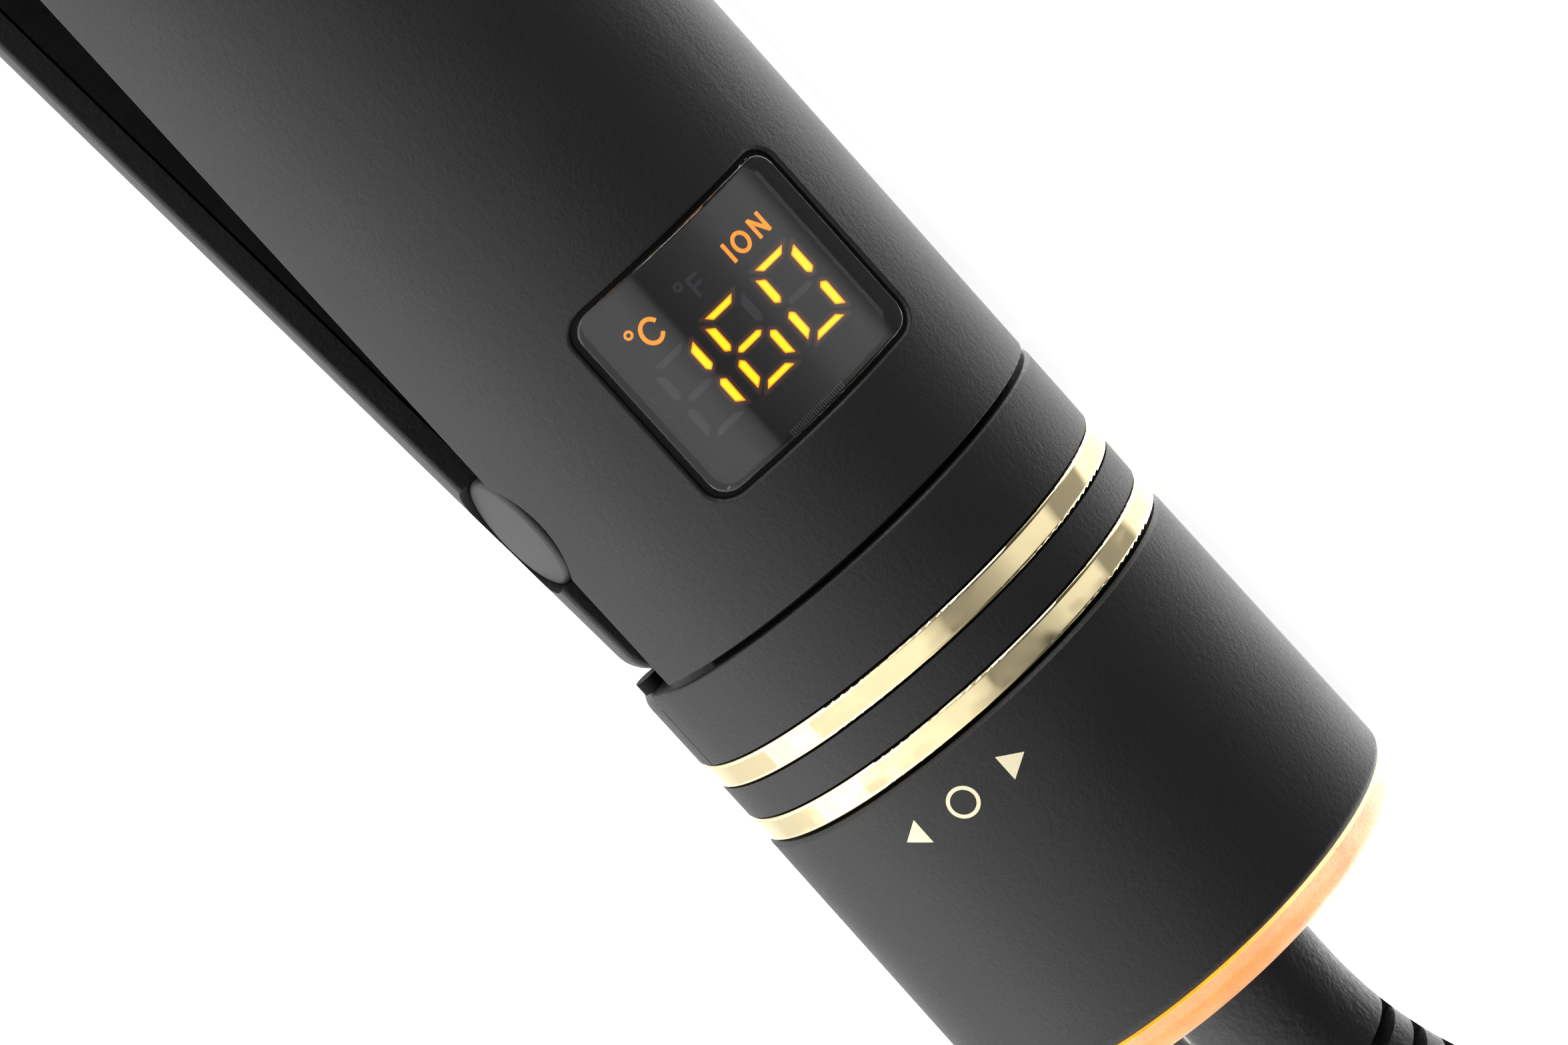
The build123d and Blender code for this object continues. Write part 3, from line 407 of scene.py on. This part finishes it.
# Polished metals: colour, roughness, extra roughness of handling marks, waviness in mm.
POLISHED = {
    "pale_gold": ((0.9, 0.76, 0.45), 0.03, 0.03, 0.06),
    "steel": ((0.28, 0.28, 0.29), 0.24, 0.08, 0.004),
    "pin_nickel": ((0.5, 0.48, 0.45), 0.16, 0.08, 0.004),
}
# Brushed metals: colour, roughness, stretch of the brush lines per axis.
BRUSHED = {
    "barrel_coat": ((0.23, 0.178, 0.14), 0.3, (1.0, 0.04, 0.04)),
    "spreader_alu": ((0.72, 0.72, 0.73), 0.35, (0.03, 1.0, 1.0)),
}


def make_materials():
    slots = {}
    for kind, rows in ((moulded, MOULDED), (polished, POLISHED), (brushed, BRUSHED)):
        for name, values in rows.items():
            slots[name] = kind(name, *values)
    slots["smoked_window"] = smoked_glass()
    slots["display_face"] = display_face()
    slots["light_guide"] = light_guide()
    slots["board_lacquer"] = solder_mask()
    slots["tie_black"] = woven("tie_black", (0.012, 0.012, 0.012), 0.55)
    return slots


def dress_nodes(slots):
    for row in frame["record"]["subparts"]:
        mesh = frame["nodes"][row["node"]].data
        mesh.materials.clear()
        mesh.materials.append(slots[row["material_slot"]])


# ---- display graphics ----------------------------------------------------------------------
FACE_Y = -14.8           # front of the display module
DIGIT_X = 0.4            # middle of the digits along the handle
DIGIT_Z = (4.93, -0.02, -4.96)
LIT_SEGMENTS = ("bc", "acdefg", "abcdef")
HALO = 0.28
HALO_STEPS = ((2, 0.22), (3, 0.5), (4, 1.0))     # material and how far out each step ends
RIM_WIDTH = 0.1
CORNER_ROUND = 0.1
ROUND_STEPS = 4
PRINT_LIFT = 0.04
# Glow colours and strengths from the middle of a lit stroke out to the end of its halo.
AMBER = (((1.0, 0.76, 0.0), 2.6), ((1.0, 0.42, 0.0), 2.2), ((1.0, 0.22, 0.0), 0.25),
         ((1.0, 0.28, 0.05), 0.12), ((1.0, 0.35, 0.1), 0.05))
ORANGE_STRENGTH = 2.1
ORANGE = ((1.0, 0.34, 0.0), (1.0, 0.3, 0.0))
ICON_X = 5.87
CONTACT_X = -6.4         # row of contacts at the module's rear edge
CONTACT_Z = (2.2, -3.0)
CONTACT_PITCH = 0.2
CONTACT = ((0, -0.27), (0, 0.27))
CONTACT_HALF_WIDTH = 0.05
# corners of a digit's segments, (across, along) in mm; the others are mirror images
SEGMENT_A = ((-1.40, 3.34), (1.25, 3.34), (0.78, 2.84), (-0.95, 2.84))
SEGMENT_B = ((1.86, 2.80), (1.24, 2.36), (1.24, 0.74), (1.52, 0.43), (1.89, 0.70))
SEGMENT_G = ((-1.22, 0.0), (-0.96, 0.25), (0.82, 0.25), (1.10, 0.0), (0.80, -0.25), (-0.95, -0.25))


def mirrored(corners, across, along):
    return [(w * across, h * along) for w, h in corners]


SEGMENTS = {
    "a": SEGMENT_A,
    "b": SEGMENT_B,
    "c": mirrored(SEGMENT_B, 1, -1),
    "d": mirrored(SEGMENT_A, 1, -1),
    "e": mirrored(SEGMENT_B, -1, -1),
    "f": mirrored(SEGMENT_B, -1, 1),
    "g": SEGMENT_G,
}


def counter_clockwise(corners):
    area = sum(a[0] * b[1] - b[0] * a[1] for a, b in zip(corners, corners[1:] + corners[:1]))
    return corners if area > 0 else corners[::-1]


def grown(corners, distance):
    """Convex outline moved out by a distance, with mitred corners."""
    moved = []
    for i, here in enumerate(corners):
        before = Vector(corners[i - 1])
        after = Vector(corners[(i + 1) % len(corners)])
        here = Vector(here)
        first = (here - before).normalized()
        second = (after - here).normalized()
        normal_1 = Vector((first.y, -first.x))
        normal_2 = Vector((second.y, -second.x))
        mitre = (normal_1 + normal_2) / (1 + normal_1.dot(normal_2))
        moved.append(tuple(here + mitre * distance))
    return moved


def softened(corners, radius):
    """Outline with each corner replaced by a short curve."""
    out = []
    for i, here in enumerate(corners):
        here = Vector(here)
        before = Vector(corners[i - 1])
        after = Vector(corners[(i + 1) % len(corners)])
        start = here + (before - here).normalized() * radius
        end = here + (after - here).normalized() * radius
        for k in range(ROUND_STEPS + 1):
            t = k / ROUND_STEPS
            out.append(tuple(start * (1 - t) ** 2 + here * 2 * t * (1 - t) + end * t * t))
    return out


class Print:
    """Flat graphics on the display module; a face's material is its glow, 0 the brightest."""

    def __init__(self):
        self.mesh = bmesh.new()

    def loop(self, outline, centre, lift):
        return [self.mesh.verts.new(at(centre[1] + h, FACE_Y - lift, centre[0] - w)) for w, h in outline]

    def join(self, first, second, glow, closed=True):
        count = len(first)
        for i in range(count if closed else count - 1):
            k = (i + 1) % count
            self.mesh.faces.new((first[i], first[k], second[k], second[i])).material_index = glow

    def patch(self, corners, centre, halo=0.0):
        """Filled convex outline with a bright middle and, if wanted, a halo."""
        corners = counter_clockwise([tuple(c) for c in corners])
        rim = self.loop(softened(corners, CORNER_ROUND), centre, PRINT_LIFT)
        core = self.loop(softened(grown(corners, -RIM_WIDTH), CORNER_ROUND), centre, PRINT_LIFT)
        self.join(rim, core, 1)
        self.mesh.faces.new(core)
        if halo:
            inner = self.loop(softened(corners, CORNER_ROUND), centre, PRINT_LIFT / 2)
            for glow, share in HALO_STEPS:
                out = halo * share
                outline = softened(grown(corners, out), CORNER_ROUND + out)
                outer = self.loop(outline, centre, PRINT_LIFT / 2)
                self.join(outer, inner, glow)
                inner = outer

    def ribbon(self, points, centre, half_width, closed=False):
        """Stroke of even width along points."""
        rows = [[], [], [], []]
        count = len(points)
        for i, here in enumerate(points):
            before = Vector(points[i - 1] if closed or i else here)
            after = Vector(points[(i + 1) % count] if closed or i < count - 1 else here)
            along = (after - before).normalized()
            side = Vector((along.y, -along.x))
            for row, share in zip(rows, (1, 0.45, -0.45, -1)):
                place = Vector(here) + side * half_width * share
                row += self.loop([tuple(place)], centre, PRINT_LIFT)
        for first, second, glow in zip(rows, rows[1:], (1, 0, 1)):
            self.join(first, second, glow, closed)

    def finish(self, name, materials):
        bmesh.ops.recalc_face_normals(self.mesh, faces=self.mesh.faces)
        toward = [f for f in self.mesh.faces if f.normal.y > 0]
        bmesh.ops.reverse_faces(self.mesh, faces=toward)
        data = bpy.data.meshes.new(name)
        self.mesh.to_mesh(data)
        self.mesh.free()
        return add_piece(name, data, materials, "handle")


def add_piece(name, data, materials, body):
    for material in materials:
        data.materials.append(material)
    piece = bpy.data.objects.new(name, data)
    bpy.context.scene.collection.objects.link(piece)
    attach(piece, body)
    return piece


def arc(radius_w, radius_h, start, end, steps):
    points = []
    for k in range(steps):
        angle = math.radians(start + (end - start) * k / (steps - 1))
        points.append((radius_w * math.cos(angle), radius_h * math.sin(angle)))
    return points


DEGREE_RING = arc(0.26, 0.26, 0, 345, 24)
# Strokes of the icons: points, their middle as (z, x), half width and whether the stroke is closed.
LIT_STROKES = (
    (DEGREE_RING, (6.16, 6.62), 0.1, True),
    (arc(0.76, 0.88, 22, 322, 40), (4.74, 5.72), 0.16, False),
    (((0, 0.82), (0, -0.82)), (-3.03, ICON_X), 0.15, False),
    (arc(0.56, 0.7, 0, 350, 36), (-4.2, ICON_X), 0.15, True),
    (((-0.42, -0.83), (-0.42, 0.83)), (-5.9, ICON_X), 0.14, False),
    (((-0.44, 0.78), (0.44, -0.78)), (-5.9, ICON_X), 0.15, False),
    (((0.42, -0.83), (0.42, 0.83)), (-5.9, ICON_X), 0.14, False),
)
UNLIT_STROKES = (
    (DEGREE_RING, (1.29, 6.67), 0.1, True),
    (((-0.4, 0.78), (-0.4, -0.78)), (0.1, ICON_X), 0.14, False),
    (((-0.4, 0.66), (0.5, 0.66)), (0.1, ICON_X), 0.13, False),
    (((-0.4, 0.0), (0.36, 0.0)), (0.1, ICON_X), 0.13, False),
)


def make_display(contact_grey):
    """Lit digits and icons, the unlit segments beside them and the module's row of contacts."""
    ghost = lit("display_ghost", (0.32, 0.28, 0.34), 0.1)
    amber = [lit(f"display_amber_{k}", colour, strength) for k, (colour, strength) in enumerate(AMBER)]
    orange = [lit(f"display_orange_{k}", colour, ORANGE_STRENGTH) for k, colour in enumerate(ORANGE)]
    segments = Print()
    ghosts = Print()
    icons = Print()
    contacts = Print()
    for z, lit_ones in zip(DIGIT_Z, LIT_SEGMENTS):
        for name, corners in SEGMENTS.items():
            if name in lit_ones:
                segments.patch(corners, (z, DIGIT_X), HALO)
            else:
                ghosts.patch(corners, (z, DIGIT_X))
    for stroke in LIT_STROKES:
        icons.ribbon(*stroke)
    for stroke in UNLIT_STROKES:
        ghosts.ribbon(*stroke)
    for k in range(round((CONTACT_Z[0] - CONTACT_Z[1]) / CONTACT_PITCH)):
        contacts.ribbon(CONTACT, (CONTACT_Z[0] - k * CONTACT_PITCH, CONTACT_X), CONTACT_HALF_WIDTH)
    segments.finish("lit_digits", amber)
    ghosts.finish("unlit_segments", [ghost, ghost])
    icons.finish("lit_icons", orange)
    contacts.finish("module_contacts", [contact_grey, contact_grey])


# ---- strap round the coil ------------------------------------------------------------------
# Section of the woven strap with its two hems: (across, out from the cord), mm.
STRAP_SECTION = ((-5.0, 0.05), (5.0, 0.05), (5.0, 0.5), (4.75, 0.66), (3.9, 0.66), (3.65, 0.54),
                 (-3.65, 0.54), (-3.9, 0.66), (-4.75, 0.66), (-5.0, 0.5))
HEM_MIDDLE = 4.33
HEM_TOP = 0.66
CORNER_STEPS = 6
LAP = (4, 19)            # points of the outline between which the strap's end lies over it
LAP_LIFT = 0.64
STITCH_PITCH = 2.2
STITCH = (0.65, 0.16, 0.1)     # half length, half width and height


def strap_outline(out):
    """Rounded outline of the coil's section as (x, z), out from the cord by a distance."""
    low = COIL_BASE + CORD_D / 2
    high = low + 3 * COIL_PITCH
    points = []
    for side, z, start in ((1, low, -90), (1, high, 0), (-1, high, 90), (-1, low, 180)):
        for k in range(CORNER_STEPS + 1):
            turn = math.radians(start + 90 * k / CORNER_STEPS)
            middle = COIL_CENTRE[0] + COIL_MEAN_R + side * COIL_PITCH / 2
            reach = CORD_D / 2 + out
            points.append((middle + reach * math.cos(turn), z + reach * math.sin(turn)))
    return points


def strap_layer(mesh, lift, first=0, last=None):
    """Strap along part of the outline, or all round it where last is None."""
    rows = []
    for across, out in STRAP_SECTION:
        points = strap_outline(out + lift)[first:last]
        rows.append([mesh.verts.new(at(x, COIL_CENTRE[1] + across, z)) for x, z in points])
    count = len(rows[0])
    for row, following in zip(rows, rows[1:] + rows[:1]):
        for i in range(count if last is None else count - 1):
            k = (i + 1) % count
            mesh.faces.new((row[i], row[k], following[k], following[i]))
    if last is not None:
        mesh.faces.new([row[0] for row in rows])
        mesh.faces.new([row[-1] for row in rows][::-1])


def stitch(mesh, start, end, across, out):
    """Raised thread between two points of the outline."""
    along = (end - start).normalized()
    middle = (start + end) / 2
    outward = Vector((along.y, -along.x))
    half_length, half_width, height = STITCH
    ring = []
    for step, width, rise in ((-1, 1, 0), (-0.7, 0.7, 1), (0.7, 0.7, 1), (1, 1, 0)):
        for side in (-1, 1):
            spot = middle + along * step * half_length + outward * (out + rise * height)
            y = COIL_CENTRE[1] + across + side * width * half_width
            ring.append(mesh.verts.new(at(spot.x, y, spot.y)))
    for a in (0, 2, 4):
        mesh.faces.new((ring[a], ring[a + 1], ring[a + 3], ring[a + 2]))
    mesh.faces.new((ring[0], ring[2], ring[4], ring[6]))
    mesh.faces.new((ring[7], ring[5], ring[3], ring[1]))
    mesh.faces.new((ring[6], ring[7], ring[1], ring[0]))


def make_strap(material):
    """Stitched strap round the coil, with its end lapped over itself."""
    mesh = bmesh.new()
    strap_layer(mesh, 0.0)
    strap_layer(mesh, LAP_LIFT, *LAP)
    points = [Vector(point) for point in strap_outline(HEM_TOP)]
    for i, start in enumerate(points):
        end = points[(i + 1) % len(points)]
        lift = LAP_LIFT if LAP[0] <= i < LAP[1] - 1 else 0.0
        count = max(1, round((end - start).length / STITCH_PITCH))
        if count == 1 and i % 2:
            continue
        for k in range(count):
            for across in (-HEM_MIDDLE, HEM_MIDDLE):
                stitch(mesh, start.lerp(end, k / count), start.lerp(end, (k + 1) / count), across, lift)
    bmesh.ops.recalc_face_normals(mesh, faces=mesh.faces)
    data = bpy.data.meshes.new("coil_strap")
    mesh.to_mesh(data)
    mesh.free()
    strap = add_piece("coil_strap", data, [material], "cord_set")
    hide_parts("cord_tie")
    return strap


# ---- studio --------------------------------------------------------------------------------
FLOOR_GAP = 0.0001
FLOOR_HALF = 3.0
LEVEL_SCALE = 4.0        # brightest level; the ramps hold levels as a share of it
# Brightness of the light tent by its angle round the handle: 0 is level with the iron in front,
# 90 straight above, -90 straight below and 180 behind.
TENT = ((-180, 1.8), (-150, 4.0), (-120, 4.0), (-97, 2.0), (-78, 0.34), (-48, 0.08), (-20, 0.1), (5, 0.45),
        (28, 1.05), (53, 1.75), (79, 2.45), (109, 2.8), (132, 2.0), (153, 1.3), (170, 1.2), (180, 1.8))
# The same for the narrow strip of reflector cards that polished faces mirror.
CARDS = ((-180, 1.5), (-98, 1.5), (-92, 0.42), (-66, 0.36), (-60, 1.1), (-36, 1.0), (-24, 0.62),
         (-12, 0.45), (5, 0.3), (8.5, 0.28), (12, 0.85), (22, 1.25), (60, 1.22), (110, 1.15),
         (150, 1.0), (180, 1.5))
CARD_MIDDLE = -0.145     # sideways place of the strip, as the direction's X
CARD_HALF = 0.055
CARD_EDGE = 0.03


def camera_only(nodes):
    return nodes.new("ShaderNodeLightPath").outputs["Is Camera Ray"]


def level_ramp(nodes, links, turn, levels):
    """Colour ramp with grey levels at angles in degrees; turn runs from 0 to 1."""
    node = nodes.new("ShaderNodeValToRGB")
    ramp = node.color_ramp
    ramp.elements.remove(ramp.elements[1])
    for index, (angle, level) in enumerate(levels):
        position = (angle + 180) / 360
        element = ramp.elements.new(position) if index else ramp.elements[0]
        element.position = position
        element.color = (*[level / LEVEL_SCALE] * 3, 1.0)
    links.new(turn, node.inputs["Fac"])
    return node.outputs["Color"]


def make_world():
    """White backdrop; what lights the iron is a tent with a bright top and back."""
    world = bpy.data.worlds.new("studio")
    world.use_nodes = True
    bpy.context.scene.world = world
    nodes, links = world.node_tree.nodes, world.node_tree.links

    def calculate(operation, first, second):
        node = nodes.new("ShaderNodeMath")
        node.operation = operation
        for socket, value in zip(node.inputs, (first, second)):
            if isinstance(value, float):
                socket.default_value = value
            else:
                links.new(value, socket)
        return node.outputs["Value"]

    split = nodes.new("ShaderNodeSeparateXYZ")
    links.new(nodes.new("ShaderNodeTexCoord").outputs["Generated"], split.inputs["Vector"])
    front = calculate("MULTIPLY", split.outputs["Y"], -1.0)
    angle = calculate("ARCTAN2", split.outputs["Z"], front)
    turn = calculate("ADD", calculate("DIVIDE", angle, 2 * math.pi), 0.5)
    aside = calculate("ABSOLUTE", calculate("SUBTRACT", split.outputs["X"], CARD_MIDDLE), 0.0)
    outside = nodes.new("ShaderNodeMapRange")
    outside.inputs["From Min"].default_value = CARD_HALF
    outside.inputs["From Max"].default_value = CARD_HALF + CARD_EDGE
    links.new(aside, outside.inputs["Value"])
    blend = nodes.new("ShaderNodeMix")
    blend.data_type = "RGBA"
    colours = [socket for socket in blend.inputs if socket.type == "RGBA"]
    links.new(outside.outputs["Result"], blend.inputs["Factor"])
    links.new(level_ramp(nodes, links, turn, CARDS), colours[0])
    links.new(level_ramp(nodes, links, turn, TENT), colours[1])
    tent = nodes["Background"]
    links.new(next(o for o in blend.outputs if o.type == "RGBA"), tent.inputs["Color"])
    tent.inputs["Strength"].default_value = LEVEL_SCALE
    white = nodes.new("ShaderNodeBackground")
    white.inputs["Color"].default_value = (1, 1, 1, 1)
    mix = nodes.new("ShaderNodeMixShader")
    links.new(camera_only(nodes), mix.inputs["Fac"])
    links.new(tent.outputs["Background"], mix.inputs[1])
    links.new(white.outputs["Background"], mix.inputs[2])
    links.new(mix.outputs["Shader"], nodes["World Output"].inputs["Surface"])


def make_floor():
    """White sweep lit from below: pure white with only a trace of shadow."""
    data = bpy.data.meshes.new("studio_floor")
    half = FLOOR_HALF
    corners = [(x * half, y * half, -FLOOR_GAP) for x, y in ((-1, -1), (1, -1), (1, 1), (-1, 1))]
    data.from_pydata(corners, [], [(0, 1, 2, 3)])
    floor = bpy.data.objects.new("studio_floor", data)
    bpy.context.scene.collection.objects.link(floor)
    look = Look("studio_white", Base_Color=(0.8, 0.8, 0.8), Roughness=0.9, Specular_IOR_Level=0.0,
                Emission_Color=(1, 1, 1), Emission_Strength=0.88)
    clear = look.nodes.new("ShaderNodeBsdfTransparent")
    mix = look.nodes.new("ShaderNodeMixShader")
    look.links.new(camera_only(look.nodes), mix.inputs["Fac"])
    look.links.new(clear.outputs["BSDF"], mix.inputs[1])
    look.links.new(look.shader.outputs["BSDF"], mix.inputs[2])
    look.links.new(mix.outputs["Shader"], look.nodes["Material Output"].inputs["Surface"])
    data.materials.append(look.material)


def add_softbox(name, place, aim, size, radiance):
    data = bpy.data.lights.new(name, "AREA")
    data.shape = "RECTANGLE"
    data.size, data.size_y = size
    data.energy = radiance * math.pi * size[0] * size[1]
    lamp = bpy.data.objects.new(name, data)
    lamp.location = place
    lamp.rotation_euler = (Vector(aim) - Vector(place)).to_track_quat("-Z", "Y").to_euler()
    bpy.context.scene.collection.objects.link(lamp)


# Softboxes: place, point they face, size in m and radiance.
SOFTBOXES = {
    "top_softbox": ((-0.1, 0.15, 0.9), (-0.1, 0.0, 0.0), (1.0, 0.5), 0.8),
    "rim_softbox": ((0.52, -0.42, -0.18), (-0.1, 0.0, 0.02), (0.4, 0.4), 7.0),
}


def main():
    make_camera()
    slots = make_materials()
    dress_nodes(slots)
    lead = make_cord(make_strap(slots["tie_black"]))
    lead.data.materials.append(slots["cord_black"])
    make_display(slots["module_grey"])
    make_world()
    make_floor()
    for name, values in SOFTBOXES.items():
        add_softbox(name, *values)
    bpy.context.scene.view_settings.view_transform = "Standard"


main()
